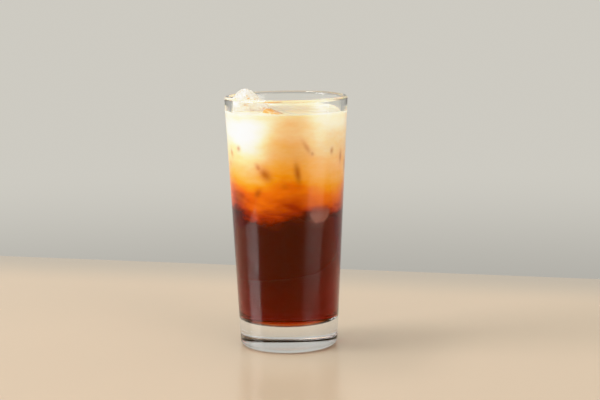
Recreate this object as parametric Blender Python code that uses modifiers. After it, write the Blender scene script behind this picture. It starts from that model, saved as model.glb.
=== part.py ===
"""Thai iced tea in a tall clear glass, in metres, +Z up.

The origin is the middle of the glass's foot, on the surface it stands on. The
drink lies in three layers, dark tea, orange milk tea and pale cream, and two
lumps of ice break its surface.
"""
import math

import bmesh
import bpy
from mathutils import Euler, Matrix, Vector, noise

# The glass: a thick-walled tumbler that widens towards its rim
GLASS_HEIGHT = 0.150
FOOT_LINE_RADIUS = 0.0292    # the outer wall's line, carried down to the table
RIM_LINE_RADIUS = 0.0366     # the same line, carried up to the full height
WALL = 0.0035
BASE_THICKNESS = 0.0155
FOOT_ROUND = 0.0030          # rounding between the outer wall and the foot
PUNT_RADIUS = 0.0205         # the hollow under the foot, inside the flat ring
PUNT_DEPTH = 0.0016
INNER_CORNER = 0.0050        # rounding between the inner wall and the floor
FLOOR_SAG = 0.0004           # the floor is this much lower in the middle

# The drink: where each layer ends, and the gap that keeps neighbours apart
TEA_TOP = 0.0840
MILK_TEA_TOP = 0.1210
DRINK_LEVEL = 0.1402
GAP = 0.0003

# Slow waves in each border: height, then length along X and along Y
TEA_WAVE = (0.0011, 0.066, 0.052)
MILK_TEA_WAVE = (0.0016, 0.090, 0.074)
CREAM_RIPPLE = (0.0003, 0.039, 0.033)

# A plume of milk that sinks into the tea against the wall, right of the front
PLUME_AT = (0.0140, -0.0270)
PLUME_DEPTH = 0.0070
PLUME_WIDTH = 0.0040

# Cream drawn up where it clings to the big lump of ice
CLING_AT = (-0.0230, 0.0030)
CLING_RISE = 0.0012
CLING_WIDTH = 0.0110

# Ice lumps that break the surface: middle, edge length, turn in degrees
ICE = {
    "ice_left": {"middle": (-0.0240, 0.0030, 0.1406), "edge": 0.0218, "turn": (0, 45, 5)},
    "ice_centre": {"middle": (-0.0060, -0.0150, 0.1336), "edge": 0.0160, "turn": (10, 15, 38)},
}
ICE_ROUND = 0.25             # bevel of a lump's edges, as a share of its edge length
ICE_DENT = 0.0011            # how far melting has dented its faces
ICE_DENT_LENGTH = 0.0105     # from one dent to the next
ICE_FACE_CUTS = 4
ICE_WALL_GAP = 0.0011        # ice stops this short of the inner wall

TURN_STEPS = 64
BLOCK_HALF = 0.040           # half the side of the wavy blocks that cut the layers
FINE_CELLS = 24              # cells along the side of a block that carries the plume
COARSE_CELLS = 14


def outer_radius(z):
    """Radius of the glass's outer wall at height z."""
    return FOOT_LINE_RADIUS + (RIM_LINE_RADIUS - FOOT_LINE_RADIUS) * z / GLASS_HEIGHT


def inner_radius(z):
    """Radius of the glass's inner wall at height z."""
    return outer_radius(z) - WALL


def arc(centre, radius, start, stop, steps):
    """Points of an arc in the profile plane, as (radius, height), angles in degrees."""
    points = []
    for step in range(steps + 1):
        angle = math.radians(start + (stop - start) * step / steps)
        points.append((centre[0] + radius * math.cos(angle), centre[1] + radius * math.sin(angle)))
    return points


def dome(edge_radius, edge_z, middle_z, steps):
    """A shallow curved surface from the axis out to its edge."""
    points = []
    for step in range(steps + 1):
        share = step / steps
        points.append((edge_radius * share, middle_z + (edge_z - middle_z) * share ** 2))
    return points


def floor_profile(inset):
    """Inner floor and its rounded corner, from the axis outwards, moved in by the inset."""
    corner_z = BASE_THICKNESS + INNER_CORNER
    corner = (inner_radius(corner_z) - INNER_CORNER, corner_z)
    floor_z = BASE_THICKNESS + inset
    floor = dome(corner[0], floor_z, floor_z - FLOOR_SAG, 3)
    return floor[:-1] + arc(corner, INNER_CORNER - inset, -90, 0, 6)


def glass_profile():
    """Section of the glass: floor, inner wall, rim, outer wall, foot and punt."""
    lip = WALL / 2
    lip_z = GLASS_HEIGHT - lip
    foot_centre = (outer_radius(FOOT_ROUND) - FOOT_ROUND, FOOT_ROUND)
    points = floor_profile(0.0)
    points += arc((outer_radius(lip_z) - lip, lip_z), lip, 180, 0, 10)
    points += arc(foot_centre, FOOT_ROUND, 0, -90, 5)
    points += list(reversed(dome(PUNT_RADIUS, 0.0, PUNT_DEPTH, 4)))
    return points


def fill_profile():
    """Section of everything inside the glass, from its top down to the floor."""
    top_z = GLASS_HEIGHT - WALL
    points = [(0.0, top_z), (inner_radius(top_z) - GAP, top_z)]
    return points + list(reversed(floor_profile(GAP)))


def turned(name, profile, collection):
    """A turned solid: the profile as a line of edges, swept round by a Screw modifier."""
    mesh = bpy.data.meshes.new(name)
    points = [(radius, 0.0, height) for radius, height in profile]
    edges = [(index, index + 1) for index in range(len(points) - 1)]
    mesh.from_pydata(points, edges, [])
    piece = bpy.data.objects.new(name, mesh)
    collection.objects.link(piece)
    screw = piece.modifiers.new("Turn", "SCREW")
    screw.axis = "Z"
    screw.steps = TURN_STEPS
    screw.render_steps = TURN_STEPS
    screw.use_merge_vertices = True
    screw.merge_threshold = 0.00001
    screw.use_smooth_shade = True
    return piece


def hide_guide(piece):
    """Mark a cutter, so that it only shows as wire and never renders."""
    piece.hide_render = True
    piece.display_type = "WIRE"


def wave(x, y, size):
    """Height of a slow wave at a point, from its height and its lengths along X and Y."""
    height, length_x, length_y = size
    return height * math.sin(math.tau * x / length_x + 0.7) * math.cos(math.tau * y / length_y)


def bump(x, y, middle, width):
    """A smooth bump round a point: 1 in its middle, 0 far from it."""
    reach = (x - middle[0]) ** 2 + (y - middle[1]) ** 2
    return math.exp(-reach / (2 * width ** 2))


def tea_surface(x, y):
    """Height of the border between the tea and the milk tea: slow waves and one plume."""
    plume = PLUME_DEPTH * bump(x, y, PLUME_AT, PLUME_WIDTH)
    return TEA_TOP + wave(x, y, TEA_WAVE) - plume


def milk_surface(x, y):
    """Height of the border between the milk tea and the cream."""
    return MILK_TEA_TOP + wave(x, y, MILK_TEA_WAVE)


def cream_surface(x, y):
    """The drink's own surface, drawn up round the big lump of ice."""
    cling = CLING_RISE * bump(x, y, CLING_AT, CLING_WIDTH)
    return DRINK_LEVEL + wave(x, y, CREAM_RIPPLE) + cling


def wavy_block(name, bottom, top, cells, collection):
    """A square block between two height functions, which cuts one layer out of the fill."""
    shape = bmesh.new()
    bmesh.ops.create_grid(shape, x_segments=cells, y_segments=cells, size=BLOCK_HALF)
    bmesh.ops.triangulate(shape, faces=list(shape.faces), quad_method="FIXED")
    lower = set(shape.verts)
    extruded = bmesh.ops.extrude_face_region(shape, geom=list(shape.faces))
    upper = {item for item in extruded["geom"] if isinstance(item, bmesh.types.BMVert)}
    for vert in lower:
        vert.co.z = bottom(vert.co.x, vert.co.y)
    for vert in upper:
        vert.co.z = top(vert.co.x, vert.co.y)
    bmesh.ops.recalc_face_normals(shape, faces=list(shape.faces))
    mesh = bpy.data.meshes.new(name)
    shape.to_mesh(mesh)
    shape.free()
    block = bpy.data.objects.new(name, mesh)
    collection.objects.link(block)
    hide_guide(block)
    return block


def add_boolean(piece, name, operation, cutter):
    """Cut a piece with another object."""
    boolean = piece.modifiers.new(name, "BOOLEAN")
    boolean.operation = operation
    boolean.solver = "EXACT"
    boolean.object = cutter


def layer(name, bottom, top, cells, parts, cutters):
    """One layer of the drink, the inside of the glass between two borders, and its cutter."""
    piece = turned(name, fill_profile(), parts)
    block = wavy_block("cut_" + name, bottom, top, cells, cutters)
    add_boolean(piece, "Layer", "INTERSECT", block)
    return piece, block


def ice_mesh(name, middle, edge, turn, grow):
    """A melted ice cube: bevelled, dented by noise, turned, and kept inside the wall.

    All its faces move out by grow, for the copy that cuts its place in the cream.
    """
    shape = bmesh.new()
    bmesh.ops.create_cube(shape, size=edge)
    bmesh.ops.bevel(shape, geom=list(shape.edges), offset=edge * ICE_ROUND, segments=4, profile=0.5,
                    affect="EDGES")
    flat_edges = [item for item in shape.edges if item.calc_length() > edge * 0.4]
    bmesh.ops.subdivide_edges(shape, edges=flat_edges, cuts=ICE_FACE_CUTS, use_grid_fill=True)
    place = Matrix.Translation(Vector(middle))
    place = place @ Euler([math.radians(angle) for angle in turn]).to_matrix().to_4x4()
    shape.normal_update()
    for vert in shape.verts:
        dent = noise.noise(vert.co / ICE_DENT_LENGTH + Vector(middle) / ICE_DENT_LENGTH)
        vert.co += vert.normal * (ICE_DENT * dent + grow)
    shape.transform(place)
    for vert in shape.verts:
        limit = inner_radius(min(vert.co.z, GLASS_HEIGHT)) - ICE_WALL_GAP + grow
        reach = math.hypot(vert.co.x, vert.co.y)
        if reach > limit:
            vert.co.x *= limit / reach
            vert.co.y *= limit / reach
    bmesh.ops.recalc_face_normals(shape, faces=list(shape.faces))
    mesh = bpy.data.meshes.new(name)
    shape.to_mesh(mesh)
    shape.free()
    mesh.shade_smooth()
    return mesh


def ice_lump(name, parts, cutters):
    """One lump of ice, and a slightly larger copy of it that cuts its place in the cream."""
    sizes = ICE[name]
    lump = bpy.data.objects.new(name, ice_mesh(name, grow=0.0, **sizes))
    parts.objects.link(lump)
    room = bpy.data.objects.new("cut_" + name, ice_mesh(name, grow=GAP, **sizes))
    cutters.objects.link(room)
    hide_guide(room)
    return lump, room


def material(name, colour, roughness, transmission=0.0):
    """A plain Principled material."""
    made = bpy.data.materials.new(name)
    made.use_nodes = True
    shader = made.node_tree.nodes["Principled BSDF"]
    shader.inputs["Base Color"].default_value = (*colour, 1.0)
    shader.inputs["Roughness"].default_value = roughness
    shader.inputs["Metallic"].default_value = 0.0
    shader.inputs["Transmission Weight"].default_value = transmission
    return made


def new_collection(name):
    """A collection linked to the scene."""
    collection = bpy.data.collections.new(name)
    bpy.context.scene.collection.children.link(collection)
    return collection


def main():
    """Build the glass, the three layers of the drink and the ice."""
    for old in list(bpy.data.objects):
        bpy.data.objects.remove(old)
    parts = new_collection("thai_tea")
    cutters = new_collection("cutters")

    glass = turned("glass", glass_profile(), parts)
    tea, _ = layer("tea", lambda x, y: 0.0, lambda x, y: tea_surface(x, y) - GAP / 2,
                   FINE_CELLS, parts, cutters)
    milk_tea, _ = layer("milk_tea", lambda x, y: tea_surface(x, y) + GAP / 2,
                        lambda x, y: milk_surface(x, y) - GAP / 2, FINE_CELLS, parts, cutters)
    cream, cream_block = layer("cream", lambda x, y: milk_surface(x, y) + GAP / 2, cream_surface,
                               COARSE_CELLS, parts, cutters)

    clear_glass = material("clear_glass", (0.93, 0.95, 0.94), 0.02, 1.0)
    frozen = material("cream_coated_ice", (0.95, 0.90, 0.78), 0.18, 0.2)
    for name in ICE:
        lump, room = ice_lump(name, parts, cutters)
        lump.data.materials.append(frozen)
        add_boolean(cream_block, "Room for " + name, "DIFFERENCE", room)

    glass.data.materials.append(clear_glass)
    tea.data.materials.append(material("dark_tea", (0.060, 0.006, 0.002), 0.06, 0.6))
    milk_tea.data.materials.append(material("orange_milk_tea", (0.80, 0.27, 0.03), 0.25))
    cream.data.materials.append(material("pale_cream", (0.95, 0.80, 0.55), 0.25))


main()
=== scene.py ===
# %% [markdown]
# # Layered iced Thai tea in a tall glass
# The real thing is a thick-based tumbler holding three layers: dark tea, orange
# milk tea and pale cream, with ice in it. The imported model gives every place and
# size. This lesson gives each piece its fine surface and its finish.

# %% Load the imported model
import math

import bmesh
import bpy
import numpy as np
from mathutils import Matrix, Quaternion, Vector, noise
from mathutils.bvhtree import BVHTree


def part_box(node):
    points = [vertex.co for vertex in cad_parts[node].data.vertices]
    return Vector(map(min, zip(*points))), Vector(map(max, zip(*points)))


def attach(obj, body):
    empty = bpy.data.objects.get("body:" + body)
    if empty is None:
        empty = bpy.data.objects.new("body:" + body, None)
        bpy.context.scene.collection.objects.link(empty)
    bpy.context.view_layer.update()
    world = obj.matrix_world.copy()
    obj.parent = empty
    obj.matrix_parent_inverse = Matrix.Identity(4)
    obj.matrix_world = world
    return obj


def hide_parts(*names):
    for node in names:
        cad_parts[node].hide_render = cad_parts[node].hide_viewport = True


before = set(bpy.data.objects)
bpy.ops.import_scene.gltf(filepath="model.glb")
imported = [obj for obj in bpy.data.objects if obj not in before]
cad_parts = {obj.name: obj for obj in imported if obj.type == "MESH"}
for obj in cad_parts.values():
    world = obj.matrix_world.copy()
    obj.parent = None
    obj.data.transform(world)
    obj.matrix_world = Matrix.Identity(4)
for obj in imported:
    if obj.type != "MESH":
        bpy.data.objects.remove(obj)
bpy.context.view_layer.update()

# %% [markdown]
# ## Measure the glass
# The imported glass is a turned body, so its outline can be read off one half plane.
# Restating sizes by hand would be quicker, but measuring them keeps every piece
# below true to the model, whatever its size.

MM = 0.001
# Points closer together than this count as one
NEARLY = 0.001 * MM
# The model's own points may be off by this much
ROUNDING = 10 * NEARLY
# Decimal places of a metre that are kept of a point
PLACES = 6
# The foot lies below the first share of the glass's height, the floor below the second
FOOT_BELOW, FLOOR_BELOW = 0.1, 0.5
# Points of the inside lie this share of a wall's thickness within the outer wall
WELL_WITHIN = 0.9
# The floor's edge lies outside this share of the inside's radius
EDGE_OUTSIDE = 0.6


def cad_outline(node):
    """Outline points of a turned node, as (radius, height), where it crosses +X."""
    found = {(round(vert.co.x, PLACES), round(vert.co.z, PLACES))
             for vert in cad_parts[node].data.vertices
             if abs(vert.co.y) < NEARLY and vert.co.x > -NEARLY}
    return sorted(found)


outline = cad_outline("glass")
on_axis = [height for radius, height in outline if radius < NEARLY]
foot_ring = [radius for radius, height in outline if height < ROUNDING]
GLASS_TOP = max(height for radius, height in outline)
RIM = max(outline)
FOOT = max(point for point in outline if point[1] < FOOT_BELOW * GLASS_TOP)
# The rim is a half circle, as wide as the wall is thick
LIP = GLASS_TOP - RIM[1]
WALL = 2 * LIP
FLOOR_MIDDLE = max(on_axis)
PUNT_MIDDLE = min(on_axis)
PUNT_RADIUS = min(foot_ring)
TAPER = (RIM[0] - FOOT[0]) / (RIM[1] - FOOT[1])


def outer_radius(height):
    """Radius of the outer wall."""
    return FOOT[0] + TAPER * (height - FOOT[1])


def inner_radius(height):
    """Radius of the inner wall."""
    return outer_radius(height) - WALL


inside = [point for point in outline if FOOT[1] < point[1] < FLOOR_BELOW * GLASS_TOP
          and point[0] < outer_radius(point[1]) - WELL_WITHIN * WALL]
CORNER_TOP = max(inside)
FLOOR_EDGE = min((point for point in inside if point[0] > EDGE_OUTSIDE * CORNER_TOP[0]),
                 key=lambda point: point[1])
CORNER = CORNER_TOP[1] - FLOOR_EDGE[1]
print(f"glass {GLASS_TOP / MM:.1f} mm high, wall {WALL / MM:.1f}, "
      f"base {FLOOR_EDGE[1] / MM:.1f}, rim radius {RIM[0] / MM:.1f}, "
      f"inside corner {CORNER / MM:.1f}")

# %% [markdown]
# ## Turn bodies from lines
# A tumbler is blown or pressed in a round mould, so a line swept round the axis
# gives its true form. A Screw modifier would do that, but the drink's borders
# rise and fall round the glass, so one helper takes a line for each angle.

# %% A body swept round the axis
TURNS = 256
# Faces that meet at more than this many degrees keep a crisp edge
CRISP_ANGLE = 50


def placed(name, data):
    """A new object in the scene, at the origin."""
    made = bpy.data.objects.new(name, data)
    bpy.context.scene.collection.objects.link(made)
    return made


def arc(centre, radius, start, stop, steps):
    """Points of an arc in the outline's plane, angles in degrees."""
    angles = np.radians(np.linspace(start, stop, steps + 1))
    return [(centre[0] + radius * math.cos(angle), centre[1] + radius * math.sin(angle))
            for angle in angles]


def sweep(name, line_at):
    """A closed body from one line per angle, each from the axis back to the axis."""
    lines = [line_at(step) for step in range(TURNS)]
    # A line's two ends lie on the axis, where all angles share one point
    count = len(lines[0]) - 2
    shape = bmesh.new()
    first = shape.verts.new((0, 0, lines[0][0][1]))
    last = shape.verts.new((0, 0, lines[0][-1][1]))
    columns = []
    for step, line in enumerate(lines):
        angle = math.tau * step / TURNS
        east, north = math.cos(angle), math.sin(angle)
        columns.append([shape.verts.new((radius * east, radius * north, height))
                        for radius, height in line[1:-1]])
    for step in range(TURNS):
        here, there = columns[step], columns[(step + 1) % TURNS]
        shape.faces.new((first, there[0], here[0]))
        shape.faces.new((last, here[-1], there[-1]))
        for row in range(count - 1):
            shape.faces.new((here[row], there[row], there[row + 1], here[row + 1]))
    bmesh.ops.recalc_face_normals(shape, faces=shape.faces)
    mesh = bpy.data.meshes.new(name)
    shape.to_mesh(mesh)
    shape.free()
    mesh.shade_smooth()
    mesh.set_sharp_from_angle(angle=math.radians(CRISP_ANGLE))
    print(f"{name}: {len(mesh.polygons)} faces")
    return placed(name, mesh)


# %% [markdown]
# ## The tumbler
# A real tumbler has no sharp edge: the rim is fire polished round, the inside corner
# is a bowl and the foot rolls under into a shallow punt. A Bevel modifier could
# round a plain cup, but the line is known, so its arcs are drawn where they belong.

# %% The tumbler
WALL_ROWS = 130
PUNT_ROWS = 14
FLOOR_STEPS, CORNER_STEPS, RIM_STEPS, FOOT_STEPS = 12, 14, 24, 12


def floor_line(reach):
    """The inside's floor and round corner, from the axis out, grown by reach into the glass."""
    centre = (CORNER_TOP[0] - CORNER, CORNER_TOP[1])
    rise = FLOOR_EDGE[1] - FLOOR_MIDDLE
    flat = [(centre[0] * share, FLOOR_MIDDLE + rise * share ** 2 - reach)
            for share in np.linspace(0, 1, FLOOR_STEPS, endpoint=False)]
    return flat + arc(centre, CORNER + reach, -90, 0, CORNER_STEPS)


def tumbler_line(step):
    """Floor, inner wall, rim, outer wall, foot and punt."""
    foot_centre = (FOOT[0] - FOOT[1], FOOT[1])
    punt = [(PUNT_RADIUS * share, PUNT_MIDDLE * (1 - share ** 2))
            for share in np.linspace(1, 0, PUNT_ROWS)]
    wall = [(inner_radius(height), height)
            for height in np.linspace(CORNER_TOP[1], RIM[1], WALL_ROWS)]
    return (floor_line(0) + wall[1:-1] + arc((RIM[0] - LIP, RIM[1]), LIP, 180, 0, RIM_STEPS)
            + arc(foot_centre, FOOT[1], 0, -90, FOOT_STEPS) + punt)


tumbler = sweep("tumbler", tumbler_line)

# %% [markdown]
# ## Where the layers of the drink end
# The borders between the layers are already in the model, as slow waves and one
# plume of milk. Rays cast down on each layer read them back on a polar grid, and
# averaging neighbours rounds the model's facets off.

# %% Read the borders
RINGS = 28
RING_SHARES = [math.sin(math.pi / 2 * ring / RINGS) for ring in range(RINGS + 1)]
SMOOTHING = 6
# How much a height counts beside each of its four neighbours when they are averaged
OWN_WEIGHT, NEIGHBOURS = 2, 4
# Rays stay this far inside a layer's edge, and inside the wall, and start well above the glass
RAY_INSET, WALL_INSET = 0.4 * MM, 3.0 * MM
RAY_START = 2 * GLASS_TOP


def border_of(node):
    """Height of a layer's top: a grid by step and ring, from the axis to the wall."""
    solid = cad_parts[node]
    tree = BVHTree.FromObject(solid, bpy.context.evaluated_depsgraph_get())
    edge = max(vert.co.xy.length for vert in solid.data.vertices) - RAY_INSET
    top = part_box(node)[1].z
    grid = np.full((TURNS, RINGS + 1), np.nan)
    for step in range(TURNS):
        angle = math.tau * step / TURNS
        for ring, share in enumerate(RING_SHARES):
            reach = min(share * edge, inner_radius(top) - WALL_INSET)
            start = Vector((reach * math.cos(angle), reach * math.sin(angle), RAY_START))
            hit = tree.ray_cast(start, Vector((0, 0, -1)))[0]
            grid[step, ring] = hit.z
    return grid


def rounded(grid, passes):
    """The same grid with each height averaged with its neighbours."""
    for _ in range(passes):
        grid[:, 0] = grid[:, 1].mean()
        padded = np.concatenate([grid[:, :1], grid, grid[:, -1:]], axis=1)
        around = np.roll(grid, 1, axis=0) + np.roll(grid, -1, axis=0)
        total = OWN_WEIGHT * grid + around + padded[:, :-2] + padded[:, 2:]
        grid = total / (OWN_WEIGHT + NEIGHBOURS)
    grid[:, 0] = grid[:, 1].mean()
    return grid


tea_top = rounded(border_of("tea"), SMOOTHING)
milk_top = rounded(border_of("milk_tea"), SMOOTHING)
print(f"tea ends at {tea_top.min() / MM:.1f} to {tea_top.max() / MM:.1f} mm, "
      f"milk tea at {milk_top.min() / MM:.1f} to {milk_top.max() / MM:.1f} mm")

# %% [markdown]
# ## The ice
# Melting ice in milk has round edges, dented faces and a skin of cream. A voxel
# remesh of the model's own lump gives an even, fine surface to dent with noise,
# which subdivision of its long triangles would not.

# %% Melted lumps
ICE_VOXEL = 0.45 * MM
# Length and depth of the dents
DENTS = ((5.0 * MM, 0.42 * MM), (1.7 * MM, 0.16 * MM))
# Noise runs from -1 to 1, and this much less of it leaves more hollows than humps
HOLLOWS = 0.5


def finished_mesh(piece, name):
    """The evaluated mesh of an object, as a new piece that takes its place."""
    evaluated = piece.evaluated_get(bpy.context.evaluated_depsgraph_get())
    mesh = bpy.data.meshes.new_from_object(evaluated)
    mesh.name = name
    bpy.data.objects.remove(piece)
    return placed(name, mesh)


def melted_lump(name, node):
    """A fine, dented copy of one of the model's lumps of ice."""
    shape = bmesh.new()
    shape.from_mesh(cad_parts[node].data)
    bmesh.ops.remove_doubles(shape, verts=shape.verts, dist=ROUNDING)
    rough = bpy.data.meshes.new(name)
    shape.to_mesh(rough)
    shape.free()
    lump = placed(name, rough)
    remesh = lump.modifiers.new("Even faces", "REMESH")
    remesh.mode = "VOXEL"
    remesh.voxel_size = ICE_VOXEL
    remesh.use_smooth_shade = True
    lump = finished_mesh(lump, name)
    normals = [vert.normal.copy() for vert in lump.data.vertices]
    for vert, normal in zip(lump.data.vertices, normals):
        depth = sum(size * (noise.noise(vert.co / length) - HOLLOWS) for length, size in DENTS)
        vert.co += normal * depth
    lump.data.shade_smooth()
    return lump


ice_big = melted_lump("ice_lump_big", "ice_left")
ice_small = melted_lump("ice_lump_small", "ice_centre")

# %% [markdown]
# ## The drink's own surface
# Liquid creeps up whatever it wets. Under a lens that thin rise along the glass
# and round the ice is what makes the surface look liquid, so it is modelled.

# %% The cream's surface
# Height and width of the rise along the glass, and round the ice
MENISCUS, MENISCUS_WIDTH = 0.9 * MM, 0.8 * MM
ICE_CREEP, ICE_CREEP_WIDTH = 0.7 * MM, 1.2 * MM
RIPPLE, RIPPLE_LENGTH = 0.16 * MM, 5.0 * MM
# What lies deeper than this is a hole that the ice left, and is filled in this many passes
HOLE_DEPTH = 2.0 * MM
FILL_PASSES = 200


def filled_in(grid, depth):
    """The grid with its holes, which the ice left in it, filled from their edges."""
    level = np.median(grid)
    grid = np.where(grid < level - depth, np.nan, grid)
    known = ~np.isnan(grid)
    grid = np.where(known, grid, level)
    for _ in range(FILL_PASSES):
        grid = np.where(known, grid, rounded(grid.copy(), 1))
    return grid


def surface_detail(grid, lumps):
    """Add the rise at the glass and round the ice, and small ripples."""
    trees = [BVHTree.FromObject(lump, bpy.context.evaluated_depsgraph_get()) for lump in lumps]
    level = float(np.median(grid))
    wall = inner_radius(level)
    for step in range(TURNS):
        angle = math.tau * step / TURNS
        for ring, share in enumerate(RING_SHARES):
            reach = share * wall
            place = Vector((reach * math.cos(angle), reach * math.sin(angle), level))
            rise = MENISCUS * math.exp(-(wall - reach) / MENISCUS_WIDTH)
            for tree in trees:
                away = tree.find_nearest(place)[3]
                rise += ICE_CREEP * math.exp(-away / ICE_CREEP_WIDTH)
            grid[step, ring] += rise + RIPPLE * noise.noise(place / RIPPLE_LENGTH)
    grid[:, 0] = grid[:, 1].mean()
    return grid


cream_top = surface_detail(rounded(filled_in(border_of("cream"), HOLE_DEPTH), SMOOTHING),
                           (ice_big, ice_small))
DRINK_LEVEL = float(np.median(cream_top))
print(f"the drink stands {DRINK_LEVEL / MM:.1f} mm high")

# %% [markdown]
# ## The three layers
# Each layer reaches a hair into the glass and into its neighbour. A gap there
# would show as a silver film of air, because light can't leave glass at a flat
# angle without something wet behind it.

# %% Fill the glass
# How far each layer reaches into the glass, and into the layer below it
TEA_REACH, MILK_REACH, CREAM_REACH = 0.15 * MM, 0.20 * MM, 0.22 * MM
OVERLAP = 0.35 * MM
SIDE_ROWS = 64


def cap(grid, step, reach, lift):
    """One radial line across a border, from the axis to the wall."""
    edge = grid[step, -1] + lift
    wall = inner_radius(edge) + reach
    return [(share * wall, grid[step, ring] + lift) for ring, share in enumerate(RING_SHARES)]


def side(bottom, top, reach):
    """Points up the wall between two heights, without its two ends."""
    return [(inner_radius(height) + reach, height)
            for height in np.linspace(bottom, top, SIDE_ROWS)[1:-1]]


def layer(name, below, top, reach):
    """A layer between two borders, or from the glass's floor where there is none below."""
    def line(step):
        low = floor_line(reach) if below is None else cap(below, step, reach, -OVERLAP)
        high = cap(top, step, reach, 0)
        return low + side(low[-1][1], high[-1][1], reach) + high[::-1]

    return sweep(name, line)


dark_tea = layer("dark_tea", None, tea_top, TEA_REACH)
milk_tea = layer("milk_tea_layer", tea_top, milk_top, MILK_REACH)
cream = layer("cream_layer", milk_top, cream_top, CREAM_REACH)

# %% [markdown]
# ## How much tea is in the milk
# Milk poured on tea mixes unevenly: paler where it ran down, darker between, with
# streaks where ice touches the glass. The share of tea at each point is kept on
# the mesh, as an attribute that the colour reads, so it follows the liquid.

# %% Share of tea and marks of ice
# The share of tea falls evenly from 1 at the dark height to 0 at the pale one, and what
# follows bends that
DARK_HEIGHT, PALE_HEIGHT = 75 * MM, 165 * MM
BORDER_HEIGHT = float(np.median(tea_top))
# Azimuth from the front in degrees, right positive: middle, width, how far the pale milk
# reaches down, how far above the tea's border it is at its full reach, and how much of
# that it loses again just under the drink's surface
# The lobe at 42 degrees is partly paler milk and partly painted reflection: it pales the milk
# where the right window's reflection lies on the glass
PALE_LOBES_AND_PAINTED_REFLECTION = ((-42, 26, 36 * MM, 42 * MM, 0.75), (-95, 30, 26 * MM, 42 * MM, 0.60),
              (42, 27, 16 * MM, 24 * MM, 0.40), (76, 22, 13 * MM, 20 * MM, 0.50),
              (125, 28, 14 * MM, 30 * MM, 0.45), (195, 28, 16 * MM, 36 * MM, 0.45))
# It loses that between these depths
THINS_FROM, THINS_TO = 6 * MM, 1.5 * MM
# Places where the tea swells up, or where milk has sunk if the reach is below 0: azimuth,
# height, width in degrees, half height, reach
SWELLS = ((-66, 95 * MM, 24, 7.5 * MM, 13 * MM), (-40, 81 * MM, 20, 4.5 * MM, -5 * MM))
# Plumes of milk that sink into the tea, and thin as they go: azimuth, height, half width in
# degrees, half length
PLUMES = ((38, 82.3 * MM, 15, 7.2 * MM),)
# How large the curls of a plume's edge are, how ragged it is, and how quickly it thins there
PLUME_CURL, PLUME_RAGGED, PLUME_EDGE = 3.4 * MM, 0.28, 2.6
# Marks where ice touches the glass: azimuth, height, half width, half length, lean in degrees,
# strength
ICE_MARKS = (
    (-22.5, 106.8 * MM, 3.0 * MM, 4.6 * MM, 42, 0.80),
    (-30, 110.5 * MM, 1.6 * MM, 2.6 * MM, 35, 0.60),
    (11.5, 107.4 * MM, 1.7 * MM, 5.8 * MM, 9, 0.80),
    (21, 122.3 * MM, 1.3 * MM, 4.6 * MM, 32, 0.42),
    (27, 118.6 * MM, 0.9 * MM, 1.3 * MM, 30, 0.55),
    (-71, 118.0 * MM, 1.5 * MM, 2.4 * MM, 20, 0.60),
    (-77, 111.0 * MM, 1.3 * MM, 1.8 * MM, 0, 0.45),
    (52, 119.3 * MM, 1.3 * MM, 2.0 * MM, 0, 0.60),
    (69, 115.0 * MM, 1.5 * MM, 3.6 * MM, 0, 0.60),
    (-56, 121.0 * MM, 1.8 * MM, 1.8 * MM, 0, 0.60),
    (84, 109.0 * MM, 1.6 * MM, 4.6 * MM, 5, 0.80),
    (-32, 95.4 * MM, 3.2 * MM, 2.2 * MM, 50, 0.75),
    (-2, 100.0 * MM, 2.2 * MM, 1.8 * MM, 0, 0.30),
    (-62, 92.6 * MM, 6.0 * MM, 3.4 * MM, -26, 0.80),
    (-74, 97.0 * MM, 3.0 * MM, 2.6 * MM, 0, 0.60),
    (82, 90.0 * MM, 3.6 * MM, 6.5 * MM, 0, 0.85),
)
# The same kind of marks for the side that faces away: how many, the seed that draws them,
# and least and most of each value
HIDDEN_MARKS = 9
HIDDEN_SEED = 7
HIDDEN_RANGES = ((105, 255), (92 * MM, 128 * MM), (1.0 * MM, 2.2 * MM), (2.0 * MM, 6.0 * MM),
                 (-35, 35), (0.3, 0.7))
# The pale lobes fade out towards the axis, between these shares of the radius
CORE, SHELL = 0.4, 0.9
# Slow swirls in the mix: their size along each axis, and how far they carry it up or down
SWIRL_SIZE = (16 * MM, 16 * MM, 9 * MM)
SWIRL_REACH = 3.0 * MM


def azimuth_of(places):
    """Angle round the glass in degrees: 0 in front, growing to the right."""
    return np.degrees(np.arctan2(places[:, 0], -places[:, 1]))


def turn_between(azimuth, middle):
    """Signed angle from a middle, in degrees."""
    return (azimuth - middle + 180) % 360 - 180


def hidden_marks():
    """Marks of the same kind for the side that faces away, drawn from a fixed seed."""
    draw = np.random.default_rng(HIDDEN_SEED)
    return [tuple(draw.uniform(least, most) for least, most in HIDDEN_RANGES)
            for _ in range(HIDDEN_MARKS)]


def points_of(piece):
    """A piece's vertices as an array."""
    places = np.empty(len(piece.data.vertices) * 3)
    piece.data.vertices.foreach_get("co", places)
    return places.reshape(-1, 3)


def keep(piece, name, values):
    """Store one number per vertex on a piece."""
    layer = piece.data.attributes.new(name, "FLOAT", "POINT")
    layer.data.foreach_set("value", np.maximum(values, 0).astype(np.float32))


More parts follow.
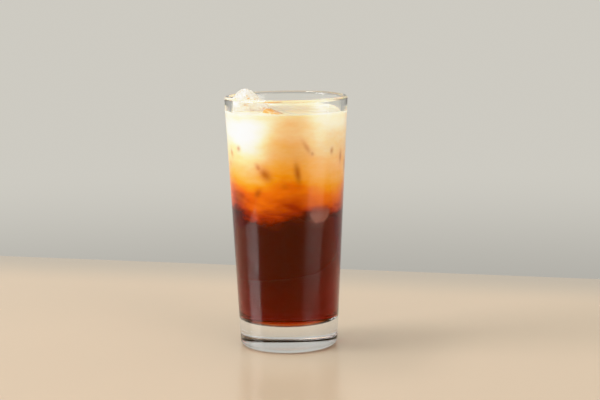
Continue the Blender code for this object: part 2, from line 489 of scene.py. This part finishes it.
def tea_share(places):
    """Share of tea at each point, from 0 in pale cream to 1 in dark tea."""
    azimuth, height = azimuth_of(places), places[:, 2].copy()
    rise = height - BORDER_HEIGHT
    outward = np.hypot(places[:, 0], places[:, 1]) / inner_radius(height)
    near_wall = np.clip((outward - CORE) / (SHELL - CORE), 0, 1)
    shallow = np.clip((THINS_FROM - (DRINK_LEVEL - height)) / (THINS_FROM - THINS_TO), 0, 1)
    lift = np.zeros(len(places))
    for middle, width, reach, full_at, loss in PALE_LOBES_AND_PAINTED_REFLECTION:
        climb = np.clip(rise / full_at, 0, 1) * near_wall * (1 - loss * shallow)
        lift += reach * climb * np.exp(-(turn_between(azimuth, middle) / width) ** 2)
    for middle, centre, width, half_height, reach in SWELLS:
        aside, up = turn_between(azimuth, middle) / width, (height - centre) / half_height
        lift -= reach * near_wall * np.exp(-(aside ** 2 + up ** 2))
    height += lift
    swirl = [noise.noise(Vector(place)) for place in places / np.array(SWIRL_SIZE)]
    height += SWIRL_REACH * np.array(swirl)
    return (PALE_HEIGHT - height) / (PALE_HEIGHT - DARK_HEIGHT)


def ice_marks(places):
    """Strength of the dark marks at each point."""
    azimuth, height = azimuth_of(places), places[:, 2]
    radius = np.hypot(places[:, 0], places[:, 1])
    marks = np.zeros(len(places))
    every_mark = list(ICE_MARKS) + hidden_marks()
    for middle, rise, half_width, half_length, lean, strength in every_mark:
        across = np.radians(turn_between(azimuth, middle)) * radius
        up = height - rise
        turn = math.radians(lean)
        along = up * math.cos(turn) - across * math.sin(turn)
        aside = across * math.cos(turn) + up * math.sin(turn)
        away = (aside / half_width) ** 2 + (along / half_length) ** 2
        marks = np.maximum(marks, strength * np.exp(-away))
    return marks


def plumes(places):
    """How much of each point is a plume of milk, with a soft edge."""
    azimuth, height = azimuth_of(places), places[:, 2]
    inside = np.zeros(len(places))
    curls = np.array([noise.noise(Vector(place) / PLUME_CURL) for place in places])
    for middle, rise, width, length in PLUMES:
        away = np.hypot(turn_between(azimuth, middle) / width, (height - rise) / length)
        away += PLUME_RAGGED * curls
        fade = np.clip((rise + length - height) / length, 0, 1)
        inside = np.maximum(inside, fade * np.clip(PLUME_EDGE * (1 - away), 0, 1))
    return inside


for piece in (milk_tea, cream, dark_tea):
    places = points_of(piece)
    shares = tea_share(places)
    keep(piece, "plume", plumes(places))
    keep(piece, "tea_share", shares)
    keep(piece, "ice_mark", ice_marks(places))
    print(f"{piece.name}: tea share {shares.min():.2f} to {shares.max():.2f}")

# %% [markdown]
# ## Write shaders as sums
# A finish is easier to read as a formula than as a drawing of nodes. This small
# class wraps a socket, so that plus, minus and times on it add Math nodes.

# %% Shader maths
# The middle of noise that runs from 0 to 1, and where a new stop starts before it is moved
HALFWAY = 0.5


class Wire:
    """One output socket, with maths on it."""

    def __init__(self, finish, socket):
        self.finish = finish
        self.socket = socket

    def maths(self, operation, left, right):
        return self.finish.node("Math", {"operation": operation}, {0: left, 1: right})

    def __add__(self, other):
        return self.maths("ADD", self, other)

    def __sub__(self, other):
        return self.maths("SUBTRACT", self, other)

    def __rsub__(self, other):
        return self.maths("SUBTRACT", other, self)

    def __mul__(self, other):
        return self.maths("MULTIPLY", self, other)

    def __rmul__(self, other):
        return self.maths("MULTIPLY", other, self)

    def most(self, other):
        return self.maths("MAXIMUM", self, other)


def add_node(tree, kind, settings=None, sockets=None):
    """Add a node: its settings first, then values or links for its sockets."""
    made = tree.nodes.new(kind)
    for name, value in (settings or {}).items():
        setattr(made, name, value)
    for name, value in (sockets or {}).items():
        if isinstance(value, bpy.types.NodeSocket):
            tree.links.new(value, made.inputs[name])
        else:
            made.inputs[name].default_value = value
    return made


class Finish:
    """A material, or a world, whose nodes are added by calls."""

    def __init__(self, name, kinds=bpy.data.materials):
        self.made = kinds.new(name)
        self.made.use_nodes = True
        self.tree = self.made.node_tree
        self.tree.nodes.clear()

    def node(self, kind, settings=None, sockets=None, output=0):
        """Add a shader node, and wrap one of its outputs."""
        values = {name: value.socket if isinstance(value, Wire) else value
                  for name, value in (sockets or {}).items()}
        made = add_node(self.tree, "ShaderNode" + kind, settings, values)
        return Wire(self, made.outputs[output])

    def colour_row(self, value, stops):
        """The colour at a value in a row of stops, given as (place, colour) pairs."""
        row = self.node("ValToRGB", sockets={0: value})
        elements = row.socket.node.color_ramp.elements
        while len(elements) < len(stops):
            elements.new(HALFWAY)
        for element, (place, colour) in zip(elements, stops):
            element.position = place
            element.color = (*colour, 1)
        return row

    def kept(self, name):
        """A number that the mesh keeps for each vertex."""
        return self.node("Attribute", {"attribute_name": name}, output="Fac")

    def place(self):
        """Object coordinates in metres."""
        return self.node("TexCoord", output="Object")

    def height(self):
        """Height of the point in metres."""
        return self.node("SeparateXYZ", sockets={0: self.place()}, output="Z")

    def noise(self, scale, detail, closeness=(1, 1, 1), crispness=0.5):
        """Noise from 0 to 1, with closer features along an axis of larger closeness."""
        where = self.node("Mapping", sockets={"Vector": self.place(), "Scale": closeness})
        return self.node("TexNoise", sockets={"Vector": where, "Scale": scale, "Detail": detail,
                                              "Roughness": crispness})

    def ramp(self, value, low, high, least=0.0, kind="SMOOTHSTEP"):
        """A step from least at low to 1 at high, smooth unless its kind says otherwise."""
        return self.node("MapRange", {"interpolation_type": kind},
                         {"Value": value, "From Min": low, "From Max": high, "To Min": least})

    def bump(self, height, distance):
        """Relief in the shading."""
        return self.node("Bump", sockets={"Height": height, "Distance": distance,
                                          "Strength": 1.0})

    def blend(self, factor, first, second):
        """Two colours blended by a factor."""
        return self.node("Mix", {"data_type": "RGBA"},
                         {"Factor": factor, "A": first, "B": second}, output="Result")

    def surface(self, shader, volume=None, output="OutputMaterial"):
        """Send the shader to the output, and give back what was made."""
        ends = {"Surface": shader.socket}
        if volume:
            ends["Volume"] = volume.socket
        add_node(self.tree, "ShaderNode" + output, sockets=ends)
        return self.made


# %% [markdown]
# ## Clear glass
# The wall is clear, and the thick base a little grey: partly the grey that much thick
# glass has, partly painted shade that darkens the base. Glass blocks lamps in a path
# tracer, so the drink would stay dark: a Light Path node lets their light straight
# through the wall, and the foot alone keeps its shadow on the table.

# %% Clear glass
GLASS_BENDS = 1.5
DRINK_BENDS = 1.33
# Slow waves in the polish: scale and detail of their noise, and their depth
WAVE_NOISE = (45, 1.0)
WAVE_DEPTH = 0.02 * MM
# What the wall and the thick base let through; the base's grey is partly painted shade
THIN_GLASS = (0.985, 0.995, 0.99, 1)
THICK_GLASS_AND_PAINTED_SHADE = (0.83, 0.86, 0.89, 1)
# The mould leaves the underside less smooth than the rest, up to a little over the punt
UNDERSIDE_ROUGHNESS, UNDERSIDE_FADE = 0.22, 0.1
# The foot stops lamps below this share of the height of its widest point
STOPS_LAMPS = 0.2


def clear_glass():
    """Polished soda glass that lets lamps through to the drink."""
    finish = Finish("clear_glass")
    waves = finish.bump(finish.noise(*WAVE_NOISE), WAVE_DEPTH)
    # Below the floor's edge the glass takes the base's grey, which is partly painted shade
    above_shaded_base = finish.ramp(finish.height(), FLOOR_EDGE[1] - CORNER, FLOOR_EDGE[1])
    above_punt = finish.ramp(finish.height(), PUNT_MIDDLE, (1 + UNDERSIDE_FADE) * PUNT_MIDDLE)
    body = finish.node("BsdfPrincipled", sockets={
        "Base Color": finish.blend(above_shaded_base, THICK_GLASS_AND_PAINTED_SHADE, THIN_GLASS),
        "Roughness": UNDERSIDE_ROUGHNESS * (1 - above_punt),
        "IOR": GLASS_BENDS, "Transmission Weight": 1.0, "Normal": waves})
    above_foot = finish.ramp(finish.height(), STOPS_LAMPS * FOOT[1], FOOT[1])
    lamp = above_foot * finish.node("LightPath", output="Is Shadow Ray")
    return finish.surface(finish.node("MixShader", sockets={
        0: lamp, 1: body, 2: finish.node("BsdfTransparent")}))


tumbler.data.materials.append(clear_glass())

# %% [markdown]
# ## Where glass meets drink
# Light bends at a border by the ratio of the two sides. Between glass and tea that
# ratio is 1.33 to 1.5, so hardly anything is mirrored there. The tea's own surface,
# which lies just inside the wall, does that bending. The part of the inner wall
# that the drink covers must then do nothing, or it would mirror as if it were dry.

# %% The wetted wall
# The drink covers the glass up to here
WET_HEIGHT = float(cream_top[:, -1].min())


def wetted_wall_finish():
    """The inner wall where the drink covers it: it neither bends nor mirrors light."""
    finish = Finish("wetted_wall")
    return finish.surface(finish.node("BsdfTransparent"))


def wet_the_wall():
    """Give the covered faces of the inner wall and floor their own finish."""
    wetted = len(tumbler.data.materials)
    tumbler.data.materials.append(wetted_wall_finish())
    covered = 0
    for face in tumbler.data.polygons:
        middle = face.center
        inner_side = middle.xy.length < outer_radius(middle.z) - WALL / 2
        if inner_side and FOOT[1] < middle.z < WET_HEIGHT:
            face.material_index = wetted
            covered += 1
    print(f"{covered} faces of the tumbler are wet, up to {WET_HEIGHT / MM:.1f} mm")


wet_the_wall()

# %% [markdown]
# ## One row of colours for the whole drink
# From cream to tea the colour runs through amber, orange and red brown. One ramp,
# read by the share of tea, serves all three layers, so no border shows as a step.
# Fine noise added to the share draws the streaks that stirring leaves.

# %% Colours of tea with milk in it
# Colour of the mix, by its share of tea
MIX_COLOURS = (
    (0.00, (0.98, 0.96, 0.92)),
    (0.144, (0.98, 0.89, 0.72)),
    (0.278, (0.96, 0.70, 0.36)),
    (0.389, (0.94, 0.56, 0.22)),
    (0.50, (0.92, 0.47, 0.085)),
    (0.611, (0.90, 0.37, 0.010)),
    (0.722, (0.84, 0.20, 0.002)),
    (0.811, (0.68, 0.115, 0.002)),
    (0.878, (0.42, 0.035, 0.001)),
    (0.933, (0.13, 0.008, 0.001)),
    (1.00, (0.04, 0.004, 0.0015)),
)
# Streaks in the mix: how much they change the share, and their noise's scale, detail,
# closeness along each axis, and crispness
MARBLING = 0.30
MARBLING_NOISE = (55, 6.0, (1, 1, 2.6), 0.62)
# A thin plume of milk with the dark tea behind it
PLUME_COLOUR = (0.29, 0.105, 0.075, 1)
# Where ice presses the tea against the glass
MARK_COLOUR = (0.44, 0.090, 0.003, 1)


def marbled_share(finish):
    """The share of tea at each point, with the streaks in it."""
    return finish.kept("tea_share") + MARBLING * (finish.noise(*MARBLING_NOISE) - HALFWAY)


# %% [markdown]
# ## Dark tea
# Tea is clear, and only its depth makes it dark. Absorption in the volume gives
# that: red lives longest, so the thin edge glows red while the middle is nearly
# black. A painted colour would look the same at the edge as in the middle. Where
# milk has begun to sink, a cloudy shader takes over. A slight haze that grows from
# the floor up to the milk tea is painted shade, darker towards the top.

# %% Dark tea
# What one metre of tea takes from red, green and blue light
TEA_ABSORBS = (40.0, 260.0, 480.0)
# Cloudiness: full at the border with the milk tea, slight further down, none at the floor.
# The slight part is painted shade, which darkens the tea towards the milk above it
PAINTED_SHADE_HAZE = 0.15
# Shares of tea between which the mix turns from cloudy to clear
CLEARS_FROM, CLEARS_TO = 0.92, 1.0


def dark_tea_finish():
    """Clear deep tea, cloudy where milk has begun to sink into it, with painted shade darkening
    it towards the top.
    """
    finish = Finish("dark_tea")
    clear = finish.node("BsdfPrincipled", sockets={
        "Base Color": (1, 1, 1, 1), "Roughness": 0.0, "IOR": DRINK_BENDS / GLASS_BENDS,
        "Transmission Weight": 1.0})
    mix, plume = marbled_share(finish), finish.kept("plume")
    liquid = finish.colour_row(mix, MIX_COLOURS)
    cloudy = finish.node("BsdfPrincipled", sockets={
        "Base Color": finish.blend(plume, liquid, PLUME_COLOUR),
        "Roughness": 0.5, "Specular IOR Level": 0.0})
    # Painted shade: a slight haze from the floor up to the milk tea
    slight = PAINTED_SHADE_HAZE * finish.ramp(finish.height(), FLOOR_EDGE[1], BORDER_HEIGHT)
    milky = 1 - finish.ramp(mix, CLEARS_FROM, CLEARS_TO)
    haze = milky.most(slight).most(plume)
    densest = max(TEA_ABSORBS)
    volume = finish.node("VolumeAbsorption", sockets={
        "Color": (*(1 - amount / densest for amount in TEA_ABSORBS), 1), "Density": densest})
    both = finish.node("MixShader", sockets={0: haze, 1: clear, 2: cloudy})
    return finish.surface(both, volume)


dark_tea.data.materials.append(dark_tea_finish())

# %% [markdown]
# ## Milk tea and cream
# Milk scatters light under its surface, which softens every streak. The shader's
# subsurface part does that. Inside the glass the liquid has no gloss of its own,
# because glass wets it, so a thin coat appears only where the surface lies open.

# %% Milk tea and cream
# How far light spreads in milk: red, green and blue
MILK_SPREAD = (6.0 * MM, 3.0 * MM, 1.5 * MM)
# The gloss of the open surface begins and is full this far below the drink's level
GLOSS_BEGINS, GLOSS_FULL = 3 * MM, 1 * MM


def milk_finish(name):
    """Cloudy milk and tea, marbled, and glossy where its own surface lies open."""
    finish = Finish(name)
    liquid = finish.colour_row(marbled_share(finish), MIX_COLOURS)
    marked = finish.blend(finish.kept("ice_mark"), liquid, MARK_COLOUR)
    colour = finish.blend(finish.kept("plume"), marked, PLUME_COLOUR)
    begins, full = DRINK_LEVEL - GLOSS_BEGINS, DRINK_LEVEL - GLOSS_FULL
    open_air = finish.ramp(finish.height(), begins, full)
    return finish.surface(finish.node("BsdfPrincipled", sockets={
        "Base Color": colour, "Roughness": 0.45, "Specular IOR Level": 0.0,
        "Subsurface Weight": 0.35, "Subsurface Radius": MILK_SPREAD, "Subsurface Scale": 1.0,
        "Coat Weight": open_air, "Coat Roughness": 0.08, "Coat IOR": 1.35}))


milk_tea.data.materials.append(milk_finish("orange_milk_tea"))
cream.data.materials.append(milk_finish("pale_cream"))

# %% [markdown]
# ## Crushed grains on the ice
# The lump's open side is crusted with small broken crystals. Hundreds of them are
# too many to place by hand, so Geometry Nodes scatters one small crystal over the
# lump, only above the drink, and turns and sizes each one by chance from a seed.

# %% Crystals
# Full radius of a crystal, and how many there are
GRAIN_SIZE = 0.55 * MM
GRAINS_PER_M2 = 1.1e6
# Places, turns and sizes are drawn from this seed and the next two
GRAIN_SEED = 4
# Least and most of a crystal's size along each axis, as shares of its full size
GRAIN_LEAST, GRAIN_MOST = (0.4, 0.5, 0.4), (1.4, 1.2, 1.1)
# They keep this far above the drink
GRAIN_CLEAR = 0.5 * MM
# What the nodes take, by name
GRAIN_INPUTS = {"Crystal size": GRAIN_SIZE, "Crystals per m2": GRAINS_PER_M2,
                "Lowest crystal": DRINK_LEVEL + GRAIN_CLEAR}


def crystal_tree(finish):
    """Nodes that scatter crystals on what lies above a height, and give them their finish."""
    tree = bpy.data.node_groups.new("ice_crystals", "GeometryNodeTree")
    takes = tree.interface
    takes.new_socket("Geometry", in_out="INPUT", socket_type="NodeSocketGeometry")
    for name, value in GRAIN_INPUTS.items():
        number = takes.new_socket(name, in_out="INPUT", socket_type="NodeSocketFloat")
        number.default_value = value
    takes.new_socket("Geometry", in_out="OUTPUT", socket_type="NodeSocketGeometry")

    def add(kind, settings=None, **sockets):
        return add_node(tree, kind, settings, sockets)

    given = add("NodeGroupInput").outputs
    where = add("GeometryNodeInputPosition").outputs[0]
    height = add("ShaderNodeSeparateXYZ", Vector=where).outputs["Z"]
    above = add("FunctionNodeCompare", {"data_type": "FLOAT", "operation": "GREATER_THAN"},
                A=height, B=given["Lowest crystal"]).outputs[0]
    spots = add("GeometryNodeDistributePointsOnFaces", Mesh=given["Geometry"],
                Selection=above, Density=given["Crystals per m2"], Seed=GRAIN_SEED)
    crystal = add("GeometryNodeMeshIcoSphere", Radius=given["Crystal size"], Subdivisions=1)
    turn = add("FunctionNodeRandomValue", {"data_type": "FLOAT_VECTOR"},
               Seed=GRAIN_SEED + 1, Max=(math.tau,) * 3)
    size = add("FunctionNodeRandomValue", {"data_type": "FLOAT_VECTOR"},
               Seed=GRAIN_SEED + 2, Min=GRAIN_LEAST, Max=GRAIN_MOST)
    strewn = add("GeometryNodeInstanceOnPoints", Points=spots.outputs["Points"],
                 Instance=crystal.outputs["Mesh"], Rotation=turn.outputs[0],
                 Scale=size.outputs[0])
    real = add("GeometryNodeRealizeInstances", Geometry=strewn.outputs[0])
    coated = add("GeometryNodeSetMaterial", Geometry=real.outputs[0], Material=finish)
    tree.links.new(coated.outputs[0], add("NodeGroupOutput").inputs[0])
    return tree


def crystals_on(lump, name, finish):
    """A plain mesh of the crystals strewn over one lump."""
    host = placed(name, lump.data.copy())
    host.modifiers.new("Crystals", "NODES").node_group = crystal_tree(finish)
    made = finished_mesh(host, name)
    print(f"{name}: {len(made.data.polygons)} faces")
    return made


# %% [markdown]
# ## Ice in cream
# Ice that has lain in cream is nearly white, not clear: a skin of cream covers it,
# and tea has run into its cracks. So it is a bright, wet, slightly see-through solid
# with stains from noise: small specks on the big lump, one large stain on the small.

# %% Ice in cream
# Scale and detail of the noise of the specks, of the stain, and of the grain of the ice
PATCH_NOISE = (420, 2.0)
STAIN_NOISE = (150, 2.0)
GRAIN_NOISE = (900, 3.0)
GRAIN_DEPTH = 0.12 * MM
# Values of the noise between which a stain comes in
BIG_STAIN, SMALL_STAIN, CRYSTAL_STAIN = (0.60, 0.74), (0.22, 0.42), (0.55, 0.70)
# How strong the tint of tea is on the crystals
CRYSTAL_TINT = 0.8
# How far red, green and blue light spread in the lumps and in the crystals
ICE_SPREAD = (2.0 * MM, 1.8 * MM, 1.4 * MM)
CRYSTAL_SPREAD = (1.0 * MM, 0.9 * MM, 0.8 * MM)
# The skin of cream, broken ice, and tea on either, weak and strong
CREAMY_ICE = (1.0, 0.94, 0.85, 1)
BROKEN_ICE = (1.0, 0.95, 0.87, 1)
TEA_ON_ICE = (0.93, 0.50, 0.16, 1)
STRONG_TEA = (0.82, 0.36, 0.05, 1)


def ice_finish(name, pattern, spread, stain):
    """Wet ice with a skin of cream, stained by tea where the noise lies in the spread."""
    finish = Finish(name)
    patches = finish.ramp(finish.noise(*pattern), *spread)
    colour = finish.blend(patches, CREAMY_ICE, stain)
    grain = finish.bump(finish.noise(*GRAIN_NOISE), GRAIN_DEPTH)
    return finish.surface(finish.node("BsdfPrincipled", sockets={
        "Base Color": colour, "Roughness": 0.22, "Normal": grain,
        "Subsurface Weight": 0.15, "Subsurface Radius": ICE_SPREAD, "Subsurface Scale": 1.0,
        "Coat Weight": 0.6, "Coat Roughness": 0.06}))


def crystal_finish():
    """Broken ice wet with cream: bright, with a warm tint here and there."""
    finish = Finish("ice_crystals")
    tint = CRYSTAL_TINT * finish.ramp(finish.noise(*PATCH_NOISE), *CRYSTAL_STAIN)
    return finish.surface(finish.node("BsdfPrincipled", sockets={
        "Base Color": finish.blend(tint, BROKEN_ICE, TEA_ON_ICE), "Roughness": 0.12,
        "Subsurface Weight": 0.1, "Subsurface Radius": CRYSTAL_SPREAD, "Subsurface Scale": 1.0,
        "Coat Weight": 0.5, "Coat Roughness": 0.05}))


for lump, name, pattern, spread, stain in (
        (ice_big, "cream_coated_ice", PATCH_NOISE, BIG_STAIN, TEA_ON_ICE),
        (ice_small, "tea_stained_ice", STAIN_NOISE, SMALL_STAIN, STRONG_TEA)):
    lump.data.materials.append(ice_finish(name, pattern, spread, stain))
crystals = crystals_on(ice_big, "ice_crystals", crystal_finish())

# %% [markdown]
# ## Put each piece on the body
# Every piece rides on the one body, and the node whose place it takes is hidden.

# %% Join the pieces to the model
for piece, node, slot in (
        (tumbler, "glass", "clear_glass"), (dark_tea, "tea", "dark_tea"),
        (milk_tea, "milk_tea", "orange_milk_tea"), (cream, "cream", "pale_cream"),
        (ice_big, "ice_left", "ice"), (ice_small, "ice_centre", "ice")):
    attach(piece, "root")
    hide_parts(node)
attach(crystals, "root")

# %% [markdown]
# ## The table
# Clear things show what is around them, so the setting shapes the look of the glass.
# The table is one flat face, slightly glossy, with its far edge behind the glass
# and a little askew, where the tea and the base pick it up. Its colour darkens
# before the far edge, as painted shade. It ends close by on the left, because its
# sheen would lie as a haze over the orange layer there.

# %% Table
TABLE_TONES = (0.66, 0.53, 0.39, 1), (0.70, 0.56, 0.41, 1)
# The painted shade along the far edge
TABLE_PAINTED_SHADE = (0.50, 0.43, 0.35, 1)
# Scale and detail of the noise that blends its two tones
TONE_NOISE = (6, 2.0)
# Painted shade: the table darkens over this much before its far edge
PAINTED_SHADE_FADE = 90 * MM
# How far it reaches from the glass, in metres, and how it is turned
TABLE_BEHIND, TABLE_IN_FRONT = 0.230, 2.5
TABLE_TO_LEFT, TABLE_TO_RIGHT = 0.385, 2.5
TABLE_TURN = math.radians(-14.3)
RIGHT_WAY = Vector((math.cos(TABLE_TURN), math.sin(TABLE_TURN), 0))
BACK_WAY = Vector((-math.sin(TABLE_TURN), math.cos(TABLE_TURN), 0))


def table_finish():
    """Pale matt lacquer with a little sheen, and painted shade along its far edge."""
    finish = Finish("table")
    colour = finish.blend(finish.noise(*TONE_NOISE), *TABLE_TONES)
    behind = finish.node("VectorMath", {"operation": "DOT_PRODUCT"},
                         {0: finish.place(), 1: BACK_WAY}, output="Value")
    edge = TABLE_BEHIND * math.cos(TABLE_TURN)
    shaded = finish.blend(finish.ramp(behind, edge - PAINTED_SHADE_FADE, edge), colour, TABLE_PAINTED_SHADE)
    return finish.surface(finish.node("BsdfPrincipled", sockets={
        "Base Color": shaded, "Roughness": 0.24, "IOR": 1.45}))


def table():
    """A flat top whose far edge is straight and a little askew to the camera."""
    far = BACK_WAY * TABLE_BEHIND * math.cos(TABLE_TURN)
    corners = [far - RIGHT_WAY * TABLE_TO_LEFT, far + RIGHT_WAY * TABLE_TO_RIGHT]
    corners += [corner - BACK_WAY * TABLE_IN_FRONT for corner in reversed(corners)]
    mesh = bpy.data.meshes.new("table")
    mesh.from_pydata([tuple(corner) for corner in corners], [], [(3, 2, 1, 0)])
    mesh.materials.append(table_finish())
    return placed("table", mesh)


table()

# %% [markdown]
# ## Soft light
# Large soft panels light the drink without hard spots. A tall bright one stands far
# to the left and draws the long strip in the tea, a wide dim one fills from the right
# front, and a small one above and a little behind lights the ice and the cream.

# %% Windows
def soft_panel(name, size, brightness, tint, place, up):
    """A soft light that faces the glass. Brightness is what a mirror would show of it."""
    lamp = bpy.data.lights.new(name, "AREA")
    lamp.shape = "RECTANGLE"
    lamp.size, lamp.size_y = size
    lamp.energy = brightness * math.pi * size[0] * size[1]
    lamp.color = tint
    made = placed(name, lamp)
    made.location = place
    # A window looks level across the table, and the ceiling down at the rim
    aim = place[2] if up == "Z" else GLASS_TOP
    facing = Vector((0, 0, aim)) - made.location
    made.rotation_euler = facing.to_track_quat("-Z", up).to_euler()
    made.visible_camera = False
    print(f"{name}: {size[0]:.2f} by {size[1]:.2f} m, brightness {brightness}")


WHITE, WARM_WHITE = (1.0, 1.0, 1.0), (1.0, 0.96, 0.91)
WINDOWS_AWAY = 3.0
# Name, azimuth, width, low and high edge in metres, brightness, tint
WINDOWS = (("window_left", -81, 1.40, 0.55, 2.2, 9.5, WHITE),
           ("window_right", 53, 4.3, 0.25, 1.9, 2.3, WARM_WHITE))
CEILING_AT = (-0.8, 0.3, 2.0)
CEILING_SIZE = (1.3, 0.35)
CEILING_BRIGHTNESS = 7.0

for name, azimuth, width, low, high, brightness, tint in WINDOWS:
    angle = math.radians(azimuth)
    stand = Vector((math.sin(angle), -math.cos(angle), 0)) * WINDOWS_AWAY
    stand.z = (low + high) / 2
    soft_panel(name, (width, high - low), brightness, tint, stand, "Z")
soft_panel("ceiling", CEILING_SIZE, CEILING_BRIGHTNESS, WHITE, CEILING_AT, "Y")

# %% [markdown]
# ## The room
# A world colour stands for the walls: pale and even behind the glass, a trace
# dimmer on the camera's side, and darker low down, where the table shades it. The
# picture's curve then bends the brightest tones over, as film does, because a plain
# clip would flatten the cream to white.

# %% Room
# Scene brightness that the picture shows as black
BLACK = 0.016
# The film's curve: scene brightness, and what the picture shows for it
SHOULDER = ((0.0, 0.0), (0.6, 0.6), (0.85, 0.85), (1.05, 0.95), (1.5, 0.985), (2.5, 1.0))
# The last curve of a mapping bends all channels at once
ALL_CHANNELS = 3
# The wall darkens to this share where it nears the table, between these slopes of the
# line of sight
LOW_WALL_SHADE = 0.72
LOW_WALL = (-0.22, -0.13)
# The wall behind the glass, and the room on the camera's side
WALL_COLOUR = (0.62, 0.60, 0.545, 1)
NEAR_COLOUR = (0.57, 0.55, 0.515, 1)
# The line of sight's part along Y where the near colour ends and the wall's is full
NEAR_TO_FAR = (-0.6, 0.5)


def room():
    """A pale wall behind the glass and a dimmer room on the camera's side."""
    finish = Finish("room", bpy.data.worlds)
    way = finish.node("TexCoord", output="Generated")
    deep = finish.node("SeparateXYZ", sockets={0: way}, output="Y")
    slope = finish.node("SeparateXYZ", sockets={0: way}, output="Z")
    far = finish.ramp(deep, *NEAR_TO_FAR, kind="LINEAR")
    around = finish.blend(far, NEAR_COLOUR, WALL_COLOUR)
    straight = finish.node("LightPath", output="Is Camera Ray")
    seen = finish.blend(straight, around, WALL_COLOUR)
    shade = finish.ramp(slope, *LOW_WALL, least=LOW_WALL_SHADE)
    background = finish.node("Background", sockets={"Color": seen, "Strength": shade})
    return finish.surface(background, output="OutputWorld")


def soften_highlights(mapping):
    """Bend the top of the picture's range over, as film does, so that cream keeps its shape."""
    mapping.clip_max_x = SHOULDER[-1][0]
    curve = mapping.curves[ALL_CHANNELS]
    curve.points[0].location = SHOULDER[0]
    curve.points[1].location = SHOULDER[-1]
    for place in SHOULDER[1:-1]:
        curve.points.new(*place)
    mapping.update()


bpy.context.scene.world = room()
look = bpy.context.scene.view_settings
look.view_transform = "Standard"
look.use_curve_mapping = True
look.curve_mapping.black_level = (BLACK,) * 3
soften_highlights(look.curve_mapping)

# %% [markdown]
# ## The camera
# A camera was fitted to the glass's silhouette, foot and rim in the photo. It looks
# down a little, and leans by less than a degree.

# %% Camera
# Its place, in metres from the middle of the foot
CAMERA_AT = (0.00756, -0.876, 0.223)
# How it looks down and leans, in degrees
CAMERA_DOWN, CAMERA_LEAN = 8.81, -0.67
# Focal length and width of the picture in pixels, and the width of the sensor in millimetres
FOCAL_PIXELS, PICTURE_WIDTH = 1481, 600
SENSOR_WIDTH = 36

lens = bpy.data.cameras.new("camera")
lens.sensor_width = SENSOR_WIDTH
lens.lens = SENSOR_WIDTH * FOCAL_PIXELS / PICTURE_WIDTH
camera = placed("camera", lens)
camera.location = CAMERA_AT
camera.rotation_mode = "QUATERNION"
pitch = Vector((1, 0, 0)), math.radians(90 - CAMERA_DOWN)
roll = Vector((0, 0, 1)), math.radians(CAMERA_LEAN)
camera.rotation_quaternion = Quaternion(*pitch) @ Quaternion(*roll)
bpy.context.scene.camera = camera
